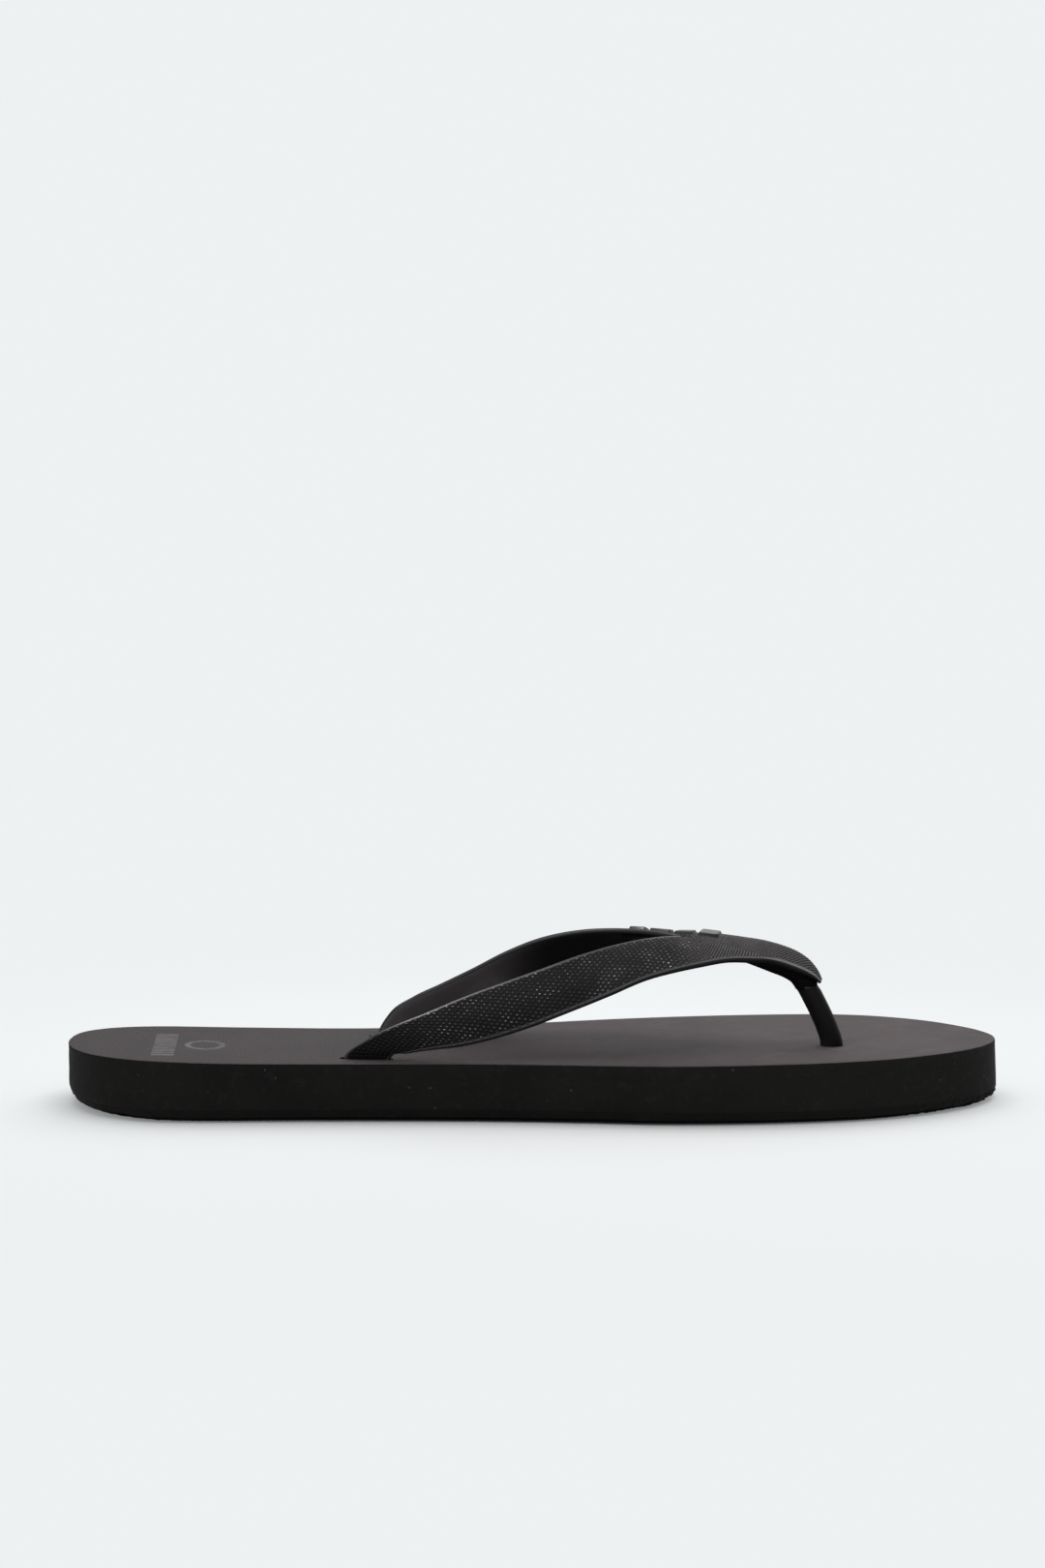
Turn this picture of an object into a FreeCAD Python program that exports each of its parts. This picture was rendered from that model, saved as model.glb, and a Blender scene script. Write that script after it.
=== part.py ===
import FreeCAD, Part
import math
import os

# Flip flop for the left foot, millimetres. +X towards the toe, +Y towards the outer side of
# the foot, +Z up. The sole is a laminate of footbed, midsole and outsole, each cut in two at
# the flex line. The thong strap is one moulding, with a toe post and two side studs that pass
# through the sole and end in plug heads.
# Modelled with x = 0 at the heel tip and z = 0 on the ground; the finished pieces are moved
# so that the origin lies half way along the length. "Inner" is the big-toe side, -Y.

V = FreeCAD.Vector

# ---- sole ----
LENGTH = 285.0             # heel tip to toe tip
FOOTBED_T = 4.0
OUTSOLE_T = 3.5
WALL_FLARE = 0.7           # offset of the wall at the ground, outside OUTLINE
FLARE_END_Z = 18.0         # height at which the wall meets OUTLINE
BODY_HEIGHT = 20.0         # blank for the upper layers, taller than the finished sole
BOTTOM_ROUND = 1.8         # rounding of the outsole's lower edge
PRISM_HALF_WIDTH = 70.0    # side-profile prisms reach past the sole on both sides

FLEX_X = 200.0             # ball-of-foot line, from the heel tip
FLEX_GAP = 0.3             # gap between the rear and front pieces
HALF_BOX = (300, 200, 60)  # box that covers either half of the sole
HALF_BOX_Z = -20

# Top surface of the sole in side view, heel to toe: x, z
TOP_PROFILE = [
    (-6, 18.25), (0, 18.25), (22, 18.15), (45, 17.5), (70, 17.1), (110, 17.05),
    (150, 17.1), (180, 17.3), (210, 17.55), (240, 17.8), (270, 17.95), (292, 18.0),
]

# Sole outline, anticlockwise from above: x, y. From the heel tip along the inner side to the
# toe tip, then back along the outer side.
OUTLINE = [
    (0.0, 3.0), (1.2, -6.0), (4.2, -14.5), (9.3, -22.8), (15.2, -28.6), (23.0, -33.4),
    (33.0, -36.0), (48.0, -36.9), (68.0, -37.1), (96.0, -38.2), (125.0, -40.5),
    (142.0, -42.8), (155.0, -45.1), (168.0, -47.8), (181.0, -49.7), (195.0, -50.3),
    (210.0, -49.9), (225.0, -48.4), (236.0, -46.3), (246.0, -43.1), (256.0, -38.3),
    (265.0, -32.7), (272.0, -27.0), (278.0, -20.2), (282.6, -12.0), (285.0, -2.5),
    (284.2, 6.5), (281.4, 15.0), (276.6, 23.8), (269.8, 32.8), (261.0, 40.6),
    (251.0, 46.3), (240.0, 49.5), (224.0, 50.9), (208.0, 50.9), (194.0, 50.0),
    (177.0, 47.9), (160.0, 44.6), (142.0, 40.2), (124.0, 36.4), (108.0, 34.2),
    (92.0, 33.3), (78.0, 33.9), (65.0, 35.0), (52.0, 35.6), (38.0, 35.5), (27.0, 34.4),
    (18.0, 32.0), (10.6, 27.6), (5.0, 21.0), (1.5, 12.5),
]

# ---- toe post, studs and their openings ----
POST_X, POST_Y = 233.0, -11.6    # post hole and head, between the first and second toe
POST_FOOT_X = POST_X - 0.2       # the post itself stands slightly behind the hole centre
POST_R = 3.45
POST_HOLE_R = POST_R + 0.3

# Side studs, inner then outer: stem (x, y), slot (x, y), angle about Z
STUDS = [
    ((91.0, -26.75), (90.6, -26.65), -12.0),
    ((100.3, 19.05), (99.9, 18.95), 13.8),
]
STEM_LENGTH, STEM_WIDTH = 12.6, 2.8
SLOT_LENGTH, SLOT_WIDTH = 16.6, 3.9

HEAD_R = 8.6
HEAD_T = 2.7
HEAD_Z = 0.6
HEAD_ROUND = 0.8
HEAD_WINDOW_R = HEAD_R + 1.0
STEM_Z = HEAD_Z + 1              # stems and post start inside their heads
STEM_TOP_Z = 17.2
CUTTER_Z, CUTTER_HEIGHT = -5, 30    # cutters run right through the sole

# ---- strap ----
# Arm stations from the stud forwards: upper edge (x, y, z), lower edge (x, y, z),
# thickness in the middle, thickness at the edges, crown
ARM_INNER = [
    ((86.2, -27.0, 14.6), (95.6, -28.8, 14.6), 2.2, 1.7, 0.15),
    ((85.4, -26.7, 17.6), (97.3, -29.1, 17.9), 2.3, 1.7, 0.15),
    ((91.5, -26.9, 23.1), (101.5, -30.0, 19.0), 2.4, 1.7, 0.2),
    ((98.2, -27.0, 26.4), (107.5, -31.1, 20.2), 2.5, 1.7, 0.3),
    ((108.5, -26.5, 30.4), (116.5, -32.0, 21.4), 2.6, 1.7, 0.5),
    ((119.5, -25.3, 34.8), (126.5, -32.3, 23.4), 2.7, 1.7, 0.7),
    ((131.0, -23.7, 38.6), (138.5, -32.0, 27.0), 2.8, 1.7, 0.8),
    ((143.0, -21.2, 42.5), (150.0, -30.8, 31.3), 2.8, 1.7, 0.9),
    ((156.0, -17.9, 46.4), (162.5, -29.0, 36.0), 2.8, 1.7, 1.0),
    ((169.0, -14.0, 49.3), (174.5, -26.6, 40.6), 2.9, 1.7, 1.1),
    ((180.0, -10.7, 50.4), (185.5, -24.6, 43.4), 3.0, 1.7, 1.1),
    ((189.0, -8.9, 50.3), (194.0, -23.0, 44.8), 3.0, 1.7, 0.9),
    ((199.0, -9.6, 49.0), (201.5, -19.3, 45.1), 2.0, 1.0, 0.3),
]
ARM_OUTER = [
    ((95.6, 19.0, 14.6), (105.0, 21.3, 14.6), 2.2, 1.7, 0.15),
    ((94.8, 18.8, 17.6), (106.6, 21.8, 17.9), 2.3, 1.7, 0.15),
    ((99.4, 19.3, 24.4), (110.0, 22.9, 19.1), 2.4, 1.7, 0.2),
    ((106.0, 19.2, 28.9), (116.0, 23.9, 20.6), 2.5, 1.7, 0.3),
    ((114.5, 18.4, 33.0), (123.5, 24.8, 22.6), 2.6, 1.7, 0.5),
    ((124.5, 17.0, 38.0), (132.5, 25.0, 26.0), 2.7, 1.7, 0.7),
    ((134.5, 15.2, 43.4), (142.0, 24.4, 31.6), 2.8, 1.7, 0.8),
    ((145.5, 12.8, 48.0), (152.5, 22.8, 36.6), 2.8, 1.7, 0.9),
    ((157.0, 9.4, 50.7), (163.5, 20.6, 40.6), 2.8, 1.7, 1.0),
    ((168.5, 4.6, 51.7), (174.0, 17.0, 43.3), 2.9, 1.7, 1.1),
    ((179.0, -1.0, 51.6), (184.5, 12.4, 45.2), 3.0, 1.7, 1.1),
    ((188.5, -6.0, 50.9), (193.5, 7.8, 46.0), 3.0, 1.7, 0.9),
    ((199.0, -7.4, 49.4), (201.5, 2.2, 46.0), 2.0, 1.0, 0.3),
]
ARM_FRACTIONS = (0.06, 0.28, 0.5, 0.72, 0.94)    # section points across the arm's width
RIM_DEPTH = 0.35                 # rim point below the edge, as a share of the edge thickness
UPRIGHT_LIMIT = 0.05             # below this |y|, z decides which way a normal faces

# Bridge over the toes: x, inner edge (y, z), ridge (y, z), outer edge (y, z), ridge thickness
BRIDGE = [
    (191.5, (-22.9, 44.6), (-7.6, 50.55), (8.1, 45.9), 2.9),
    (199.0, (-22.0, 45.2), (-7.9, 50.9), (4.2, 46.2), 3.2),
    (207.5, (-20.3, 45.0), (-8.9, 50.3), (0.0, 45.9), 3.6),
    (215.5, (-18.4, 43.8), (-10.0, 48.9), (-4.0, 44.3), 3.8),
    (222.0, (-16.6, 41.4), (-11.0, 46.5), (-6.6, 41.6), 3.6),
    (226.6, (-14.9, 38.9), (-11.5, 43.0), (-8.6, 39.0), 3.0),
    (229.6, (-13.4, 37.2), (-11.6, 38.7), (-10.0, 37.2), 1.6),
]
BRIDGE_BULGE = 0.05              # rise between edge and ridge, as a share of the width
BRIDGE_EDGE_T = 1.7
BRIDGE_EDGE_INSET = 0.4          # the underside is narrower by this at each edge
BRIDGE_FLANK_T = 0.9             # thickness between edge and ridge, as a share of the ridge's

# Toe post, from inside the bridge down to the sole: x, z, radius
POST = [
    (221.6, 41.6, 4.9), (223.9, 36.6, 4.1), (226.6, 32.0, 3.6), (229.2, 27.6, 3.42),
    (231.5, 22.4, 3.4), (POST_FOOT_X, 17.8, POST_R),
]

# Flare between bridge and post, horizontal ellipses: x, z, radius along X, radius along Y
GUSSET = [(215.6, 45.2, 9.5, 5.2), (219.6, 40.2, 6.6, 4.6), (223.0, 36.2, 4.3, 4.0)]
GUSSET_Y = POST_Y + 0.6

# Row of raised blocks where the outer arm runs into the bridge
MARK_COUNT = 4
MARK_SIZE = V(6.0, 6.4, 2.6)
MARK_ROUND = 0.35
MARK_START, MARK_END = V(173.2, 4.6, 50.3), V(201.2, -4.6, 50.0)
MARK_LIFT = V(0, 0, 0.6)
MARK_ROLL, MARK_TURN = -18, -18.2    # about X, then about Z


# ---- helpers ----
def spline(points, closed=False):
    curve = Part.BSplineCurve()
    curve.interpolate(Points=[V(*p) for p in points], PeriodicFlag=closed)
    return curve.toShape()


def unit(vector):
    return vector / vector.Length


def closed_polygon(points):
    return Part.makePolygon(points + [points[0]])


def neighbours(items, i):
    """The items before and after index i, stopping at the ends of the list."""
    return items[max(i - 1, 0)], items[min(i + 1, len(items) - 1)]


def stadium(position, angle, length, width, z, height):
    """Upright slot-shaped prism, centred on position (x, y)."""
    r = width / 2
    h = length / 2 - r
    edges = [
        Part.makeLine(V(-h, -r, 0), V(h, -r, 0)),
        Part.Arc(V(h, -r, 0), V(h + r, 0, 0), V(h, r, 0)).toShape(),
        Part.makeLine(V(h, r, 0), V(-h, r, 0)),
        Part.Arc(V(-h, r, 0), V(-h - r, 0, 0), V(-h, -r, 0)).toShape(),
    ]
    prism = Part.Face(Part.Wire(edges)).extrude(V(0, 0, height))
    prism.rotate(V(0, 0, 0), V(0, 0, 1), angle)
    prism.translate(V(position[0], position[1], z))
    return prism


# ---- sole layers ----
def outline_wire(z):
    """Sole outline at height z, each point moved outwards by the wall flare there."""
    flare = WALL_FLARE * (1 - z / FLARE_END_Z)
    points = []
    for i, (x, y) in enumerate(OUTLINE):
        before_x, before_y = OUTLINE[i - 1]
        after_x, after_y = OUTLINE[(i + 1) % len(OUTLINE)]
        dx, dy = after_x - before_x, after_y - before_y
        chord = math.hypot(dx, dy)
        points.append((x + dy / chord * flare, y - dx / chord * flare, z))
    return Part.Wire([spline(points, closed=True)])


def slab(height):
    """Flared sole blank from the ground up to height."""
    return Part.makeLoft([outline_wire(0), outline_wire(height)], True, True)


def lowered_top(drop):
    """Side-view edge of the top surface, lowered by drop."""
    return spline([(x, -PRISM_HALF_WIDTH, z - drop) for x, z in TOP_PROFILE])


def side_prism(top_edge, bottom_edge):
    """Prism across the foot between two side-view edges that both run heel to toe."""
    ends = [Part.makeLine(bottom_edge.Vertexes[i].Point, top_edge.Vertexes[i].Point)
            for i in (0, 1)]
    wire = Part.Wire(Part.__sortEdges__([top_edge] + ends + [bottom_edge]))
    return Part.Face(wire).extrude(V(0, 2 * PRISM_HALF_WIDTH, 0))


def cut_cylinder(x, y, radius):
    return Part.makeCylinder(radius, CUTTER_HEIGHT, V(x, y, CUTTER_Z))


def stem_holes():
    """Cutters for the post hole and the two stud slots."""
    slots = [stadium(slot, angle, SLOT_LENGTH, SLOT_WIDTH, CUTTER_Z, CUTTER_HEIGHT)
             for _, slot, angle in STUDS]
    return Part.makeCompound([cut_cylinder(POST_X, POST_Y, POST_HOLE_R)] + slots)


def footbed():
    layer = slab(BODY_HEIGHT).common(side_prism(lowered_top(0), lowered_top(FOOTBED_T)))
    return layer.cut(stem_holes())


def midsole():
    start_x, end_x = TOP_PROFILE[0][0], TOP_PROFILE[-1][0]
    bottom_edge = Part.makeLine(V(start_x, -PRISM_HALF_WIDTH, OUTSOLE_T),
                                V(end_x, -PRISM_HALF_WIDTH, OUTSOLE_T))
    layer = slab(BODY_HEIGHT).common(side_prism(lowered_top(FOOTBED_T), bottom_edge))
    return layer.cut(stem_holes())


def outsole():
    """Bottom sheet, rounded below, with a round window for each plug head."""
    layer = slab(OUTSOLE_T)
    ground_edges = [e for e in layer.Edges
                    if abs(e.BoundBox.ZMax) < 1e-4 and abs(e.BoundBox.ZMin) < 1e-4]
    layer = layer.makeFillet(BOTTOM_ROUND, ground_edges)
    places = [(POST_X, POST_Y)] + [stem for stem, _, _ in STUDS]
    windows = [cut_cylinder(x, y, HEAD_WINDOW_R) for x, y in places]
    return layer.cut(Part.makeCompound(windows))


def half_box(start_x):
    length, width, height = HALF_BOX
    return Part.makeBox(length, width, height, V(start_x, -width / 2, HALF_BOX_Z))


# ---- strap ----
def arm(stations, side):
    """Strap arm with a crowned face and thinner edges. side is the sign of outward Y."""
    middles = [(V(*station[0]) + V(*station[1])) / 2 for station in stations]
    wires = []
    for i, (upper, lower, middle_t, edge_t, crown) in enumerate(stations):
        upper, lower = V(*upper), V(*lower)
        span = lower - upper
        across = unit(span)
        before, after = neighbours(middles, i)
        along = V(0, 0, 1) if i == 0 else unit(after - before)

        # the normal faces away from the foot
        normal = unit(along.cross(across))
        facing = normal.y * side if abs(normal.y) > UPRIGHT_LIMIT else normal.z
        if facing < 0:
            normal = normal * -1

        face, back = [], []
        for fraction in ARM_FRACTIONS:
            arch = 4 * fraction * (1 - fraction)
            point = upper + across * (fraction * span.Length) + normal * (crown * arch)
            face.append(point)
            back.append(point - normal * (edge_t + (middle_t - edge_t) * arch))
        rim = normal * (edge_t * RIM_DEPTH)
        wires.append(closed_polygon(face + [lower - rim] + back[::-1] + [upper - rim]))
    return Part.makeLoft(wires, True, False)


def bridge():
    wires = []
    for x, inner, ridge, outer, ridge_t in BRIDGE:
        inner, ridge, outer = V(x, *inner), V(x, *ridge), V(x, *outer)
        bulge = V(0, 0, BRIDGE_BULGE * (outer - inner).Length)
        inner_flank = (inner + ridge) / 2 + bulge
        outer_flank = (outer + ridge) / 2 + bulge
        flank_drop = V(0, 0, ridge_t * BRIDGE_FLANK_T)
        edge_t = min(BRIDGE_EDGE_T, ridge_t)
        wires.append(closed_polygon([
            inner, inner_flank, ridge, outer_flank, outer,
            outer - V(0, BRIDGE_EDGE_INSET, edge_t),
            outer_flank - flank_drop,
            ridge - V(0, 0, ridge_t),
            inner_flank - flank_drop,
            inner - V(0, -BRIDGE_EDGE_INSET, edge_t),
        ]))
    return Part.makeLoft(wires, True, False)


def post():
    """Leaning upper post and the straight shank through the sole."""
    wires = []
    for i, (x, z, radius) in enumerate(POST):
        before, after = neighbours(POST, i)
        along = V(after[0] - before[0], 0, after[1] - before[1])
        if i == len(POST) - 1:
            along = V(0, 0, -1)
        wires.append(Part.Wire([Part.makeCircle(radius, V(x, POST_Y, z), unit(along))]))
    upper = Part.makeLoft(wires, True, False)
    shank = Part.makeCylinder(POST_R, POST[-1][1] - STEM_Z, V(POST_FOOT_X, POST_Y, STEM_Z))
    return upper.fuse(shank)


def gusset():
    """Flare that carries the post into the underside of the bridge."""
    wires = [Part.Wire([Part.Ellipse(V(x, GUSSET_Y, z), radius_x, radius_y).toShape()])
             for x, z, radius_x, radius_y in GUSSET]
    return Part.makeLoft(wires, True, False)


def head(x, y):
    """Plug head with rounded rims."""
    disc = Part.makeCylinder(HEAD_R, HEAD_T, V(x, y, HEAD_Z))
    rims = [e for e in disc.Edges if isinstance(e.Curve, Part.Circle)]
    return disc.makeFillet(HEAD_ROUND, rims)


def mark(i):
    """Raised block number i, counted from the heel end of the row."""
    block = Part.makeBox(MARK_SIZE.x, MARK_SIZE.y, MARK_SIZE.z, MARK_SIZE * -0.5)
    block = block.makeFillet(MARK_ROUND, block.Edges)
    block.rotate(V(0, 0, 0), V(1, 0, 0), MARK_ROLL)
    block.rotate(V(0, 0, 0), V(0, 0, 1), MARK_TURN)
    share = (i + 0.5) / MARK_COUNT
    block.translate(MARK_START + (MARK_END - MARK_START) * share + MARK_LIFT)
    return block


def strap():
    parts = [arm(ARM_OUTER, 1), bridge(), post(), gusset(), head(POST_X, POST_Y)]
    for stem, _, angle in STUDS:
        parts.append(stadium(stem, angle, STEM_LENGTH, STEM_WIDTH, STEM_Z, STEM_TOP_Z - STEM_Z))
        parts.append(head(*stem))
    parts += [mark(i) for i in range(MARK_COUNT)]
    moulding = arm(ARM_INNER, -1)
    for part in parts:
        moulding = moulding.fuse(part)
    return moulding


# ---- output ----
def export(name, shape):
    """Write a piece, as a bare solid where it has only one."""
    piece = shape.Solids[0] if len(shape.Solids) == 1 else shape
    piece.translate(V(-LENGTH / 2, 0, 0))
    piece.exportStep("parts/%s.step" % name)


os.makedirs("parts", exist_ok=True)
rear_box = half_box(FLEX_X - FLEX_GAP / 2 - HALF_BOX[0])
front_box = half_box(FLEX_X + FLEX_GAP / 2)
for name, layer in (("footbed", footbed()), ("midsole", midsole()), ("outsole", outsole())):
    export(name + "_rear", layer.common(rear_box))
    export(name + "_front", layer.common(front_box))
export("strap", strap())
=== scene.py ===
"""Left-foot flip flop, standing on its sole.

x runs from the heel to the toes, y from the big-toe side (negative) to the little-toe side
(positive), z up. Shape lengths are millimetres from the heel tip (x), the centre line (y) and
the ground (z); to_frame() turns them into the frame's metres.
"""
import math
import bmesh
import bpy
import numpy as np
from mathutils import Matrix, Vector


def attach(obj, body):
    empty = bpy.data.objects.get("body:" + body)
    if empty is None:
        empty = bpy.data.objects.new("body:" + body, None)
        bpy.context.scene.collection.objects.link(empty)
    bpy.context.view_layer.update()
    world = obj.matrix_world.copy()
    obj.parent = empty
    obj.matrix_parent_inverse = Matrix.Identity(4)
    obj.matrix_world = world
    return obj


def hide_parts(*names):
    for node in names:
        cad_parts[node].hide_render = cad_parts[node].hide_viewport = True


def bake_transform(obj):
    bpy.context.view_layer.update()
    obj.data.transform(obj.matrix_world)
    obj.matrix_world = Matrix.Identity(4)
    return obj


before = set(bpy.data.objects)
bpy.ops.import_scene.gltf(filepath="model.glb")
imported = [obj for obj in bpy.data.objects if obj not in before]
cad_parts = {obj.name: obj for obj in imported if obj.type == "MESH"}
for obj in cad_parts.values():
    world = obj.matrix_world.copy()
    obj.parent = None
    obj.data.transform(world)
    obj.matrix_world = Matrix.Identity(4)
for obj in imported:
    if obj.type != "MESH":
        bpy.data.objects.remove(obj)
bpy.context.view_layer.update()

FRAME_X = 142.5                 # x of the frame's origin

# ------------------------------------------------------------------ driving dimensions
# top outline of the sole (x, y), anticlockwise seen from above
OUTLINE = np.array([
    (0.0, 5.0), (1.2, -5.5), (4.2, -14.5), (9.3, -22.8), (15.2, -28.6), (23.0, -33.4),
    (33.0, -36.0), (48.0, -36.9), (68.0, -37.1), (96.0, -38.2), (125.0, -40.5), (142.0, -42.8),
    (155.0, -45.1), (168.0, -47.8), (181.0, -49.7), (195.0, -50.3), (210.0, -49.9),
    (225.0, -48.4), (236.0, -46.3), (246.0, -43.1), (256.0, -38.3), (265.0, -32.7),
    (272.0, -27.0), (278.0, -20.2), (282.6, -12.0), (285.0, -2.5), (284.2, 6.5), (281.4, 15.0),
    (276.6, 23.8), (269.8, 32.8), (261.0, 40.6), (251.0, 46.3), (240.0, 49.5), (224.0, 50.9),
    (208.0, 50.9), (194.0, 50.0), (177.0, 47.9), (160.0, 44.6), (142.0, 40.2), (124.0, 36.4),
    (108.0, 34.2), (92.0, 33.3), (78.0, 33.9), (65.0, 35.0), (52.0, 35.6), (38.0, 35.5),
    (27.0, 34.8), (18.0, 33.2), (10.8, 30.5), (5.7, 26.6), (2.3, 21.3), (0.5, 14.0)])
# height of the sole's top along its length (x, z)
TOP_PROFILE = np.array([
    (-6, 18.25), (0, 18.25), (22, 18.15), (45, 17.5), (70, 17.1), (110, 17.05), (150, 17.1),
    (180, 17.3), (210, 17.55), (240, 17.8), (270, 17.95), (292, 18.0)], float)

FOOTBED_T, OUTSOLE_T = 4.0, 3.5
FLARE, FLARE_TOP = 0.7, 18.0    # the wall leans out by FLARE at the ground, by nothing at FLARE_TOP
BOTTOM_R = 4.3                  # rounding between wall and ground
CAP_GAP, RIM_GAP = 0.02, 0.01   # each layer stops this far from the joint: inside, at its rim
EDGE_BAND, EDGE_INSET = 0.12, 0.03  # small bevel at the joints: height and depth
RIB = 0.66                      # pitch of the footbed's cross ribs
TREAD_PITCH, LUG_RIB = 6.0, 2.0  # zigzag grooves and the fine ribs between them

POST = (233.0, -11.6)           # toe post (x, y)
POST_HOLE_R = 3.5
PLUG_R, PLUG_Z0, PLUG_Z1 = 8.6, 0.6, 3.3   # plug heads under the sole
WINDOW_R = 9.3                  # openings in the outsole round the plug heads
# rear stems of the strap and their slots (x, y, angle in degrees), length and width of each
REAR_STEMS = ((91.0, -26.75, -12.0), (100.3, 19.05, 13.8))
REAR_SLOTS = ((90.6, -26.65, -12.0), (99.9, 18.95, 13.8))
STEM_SIZE, SLOT_SIZE = (12.6, 2.8), (16.4, 3.4)
REAR_DENTS = ((90.6, -26.7), (99.9, 19.0))  # centres of the footbed's dents round the slots

SOLE_STEP = 0.165   # footbed column spacing
STRAP_STEP = 0.20   # strap grid spacing


# ------------------------------------------------------------------ geometry helpers
def frame_x(x):
    return (x - FRAME_X) / 1000


def to_frame(points):
    points = np.array(points, float)
    points[..., 0] -= FRAME_X
    return points / 1000.0


def smooth(start, end, x):
    t = np.clip((np.asarray(x, float) - start) / (end - start), 0, 1)
    return t * t * (3 - 2 * t)


def unit(vectors):
    return vectors / np.linalg.norm(vectors, axis=-1, keepdims=True)


def arc_length(points, axis=0):
    """Distance run along one axis of a row or grid of points."""
    steps = np.linalg.norm(np.diff(points, axis=axis), axis=-1)
    return np.insert(np.cumsum(steps, axis=axis), 0, 0.0, axis=axis)


def sample_spline(points, samples, closed=False):
    """Evenly spaced samples of the C2 cubic through points, with chord-length parameters."""
    if closed:
        points = np.vstack([points, points[:1]])
    h = np.linalg.norm(np.diff(points, axis=0), axis=1)
    knots = arc_length(points)
    slope = np.diff(points, axis=0) / h[:, None]
    size = len(points) - 1 if closed else len(points)
    matrix = np.zeros((size, size))
    right = np.zeros((size, 2))
    if not closed:
        matrix[0, 0] = matrix[-1, -1] = 1      # no bend at the ends
    for i in range(size) if closed else range(1, size - 1):
        matrix[i, i - 1] += h[i - 1]
        matrix[i, i] += 2 * (h[i - 1] + h[i])
        matrix[i, (i + 1) % size] += h[i]
        right[i] = 6 * (slope[i] - slope[i - 1])
    bend = np.linalg.solve(matrix, right)
    if closed:
        bend = np.vstack([bend, bend[:1]])
    q = np.linspace(0, knots[-1], samples, endpoint=not closed)
    i = np.clip(np.searchsorted(knots, q, side="right") - 1, 0, len(points) - 2)
    u, span = q - knots[i], h[i]
    a, b = (span - u) / span, u / span
    return (a[..., None] * points[i] + b[..., None] * points[i + 1]
            + (((a**3 - a) * span**2)[..., None] * bend[i]
               + ((b**3 - b) * span**2)[..., None] * bend[i + 1]) / 6)


def hermite(t, v, q):
    """Cubic Hermite with finite-difference slopes: smooth, without far overshoot."""
    h = np.diff(t)
    d = np.diff(v, axis=0) / h[:, None]
    m = np.zeros_like(v)
    m[1:-1] = (d[:-1] * h[1:, None] + d[1:] * h[:-1, None]) / (h[1:] + h[:-1])[:, None]
    m[0], m[-1] = d[0], d[-1]
    i = np.clip(np.searchsorted(t, q, side="right") - 1, 0, len(t) - 2)
    u = ((q - t[i]) / h[i])[:, None]
    span = h[i][:, None]
    return ((2 * u**3 - 3 * u**2 + 1) * v[i] + (u**3 - 2 * u**2 + u) * span * m[i]
            + (-2 * u**3 + 3 * u**2) * v[i + 1] + (u**3 - u**2) * span * m[i + 1])


def value_noise(x, y, seed=0):
    """Smooth noise in -1..1 on the plane."""
    xi, yi = np.floor(x).astype(np.int64), np.floor(y).astype(np.int64)
    fx, fy = x - xi, y - yi
    fx, fy = fx * fx * (3 - 2 * fx), fy * fy * (3 - 2 * fy)

    def corner(a, b):
        v = (a * 374761393 + b * 668265263 + seed * 1442695041) & 0xFFFFFFFF
        v = ((v ^ (v >> 13)) * 1274126177) & 0xFFFFFFFF
        return ((v ^ (v >> 16)) & 0xFFFF) / 32767.5 - 1
    return ((corner(xi, yi) * (1 - fx) + corner(xi + 1, yi) * fx) * (1 - fy)
            + (corner(xi, yi + 1) * (1 - fx) + corner(xi + 1, yi + 1) * fx) * fy)


def circle(cx, cy, radius, count=64):
    a = np.linspace(0, 2 * math.pi, count, endpoint=False)
    return np.column_stack([cx + radius * np.cos(a), cy + radius * np.sin(a)])


def stadium(cx, cy, degrees, length, width):
    """Slot outline: two half circles joined by straight sides."""
    r, h = width / 2, length / 2 - width / 2
    turn = np.linspace(-math.pi / 2, math.pi / 2, 13)
    back = np.linspace(math.pi / 2, 1.5 * math.pi, 13)
    x = np.concatenate([h + r * np.cos(turn), -h + r * np.cos(back)])
    y = r * np.sin(np.concatenate([turn, back]))
    c, s = math.cos(math.radians(degrees)), math.sin(math.radians(degrees))
    return np.column_stack([cx + x * c - y * s, cy + x * s + y * c])


def at_height(outline, z):
    return np.column_stack([outline, np.full(len(outline), z)])


def grid_quads(grid):
    """Quads between neighbouring rows and columns of a grid of vertex numbers."""
    corners = (grid[:-1, :-1], grid[1:, :-1], grid[1:, 1:], grid[:-1, 1:])
    return np.stack(corners, -1).reshape(-1, 4)


def strip_quads(first, second):
    return grid_quads(np.stack([first, second], 1))


def link_object(name, data):
    item = bpy.data.objects.new(name, data)
    bpy.context.scene.collection.objects.link(item)
    return item


def make_mesh(name, points, faces):
    """Smooth-shaded mesh object; points are in metres."""
    mesh = bpy.data.meshes.new(name)
    mesh.from_pydata(points, [], faces)
    mesh.validate()
    mesh.update()
    item = link_object(name, mesh)
    mesh.shade_smooth()
    return item


# ------------------------------------------------------------------ sole outline
profile = sample_spline(TOP_PROFILE, 4000)
outline = sample_spline(OUTLINE, 12000, closed=True)
tangents = unit(np.roll(outline, -1, 0) - np.roll(outline, 1, 0))
outward = np.stack([tangents[:, 1], -tangents[:, 0]], 1)


def z_top(x):
    return np.interp(x, profile[:, 0], profile[:, 1])


def long_side(start, stop):
    """Points and outward normals of the outline between two of its samples."""
    total = len(outline)
    picked = (start + np.arange((stop - start) % total + 1)) % total
    return outline[picked], outward[picked]


heel, toe = int(np.argmin(outline[:, 0])), int(np.argmax(outline[:, 0]))
big_toe_side = long_side(heel, toe)
little_toe_side = [values[::-1] for values in long_side(toe, heel)]
HEEL_X, TOE_X = big_toe_side[0][0, 0], big_toe_side[0][-1, 0]


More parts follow.
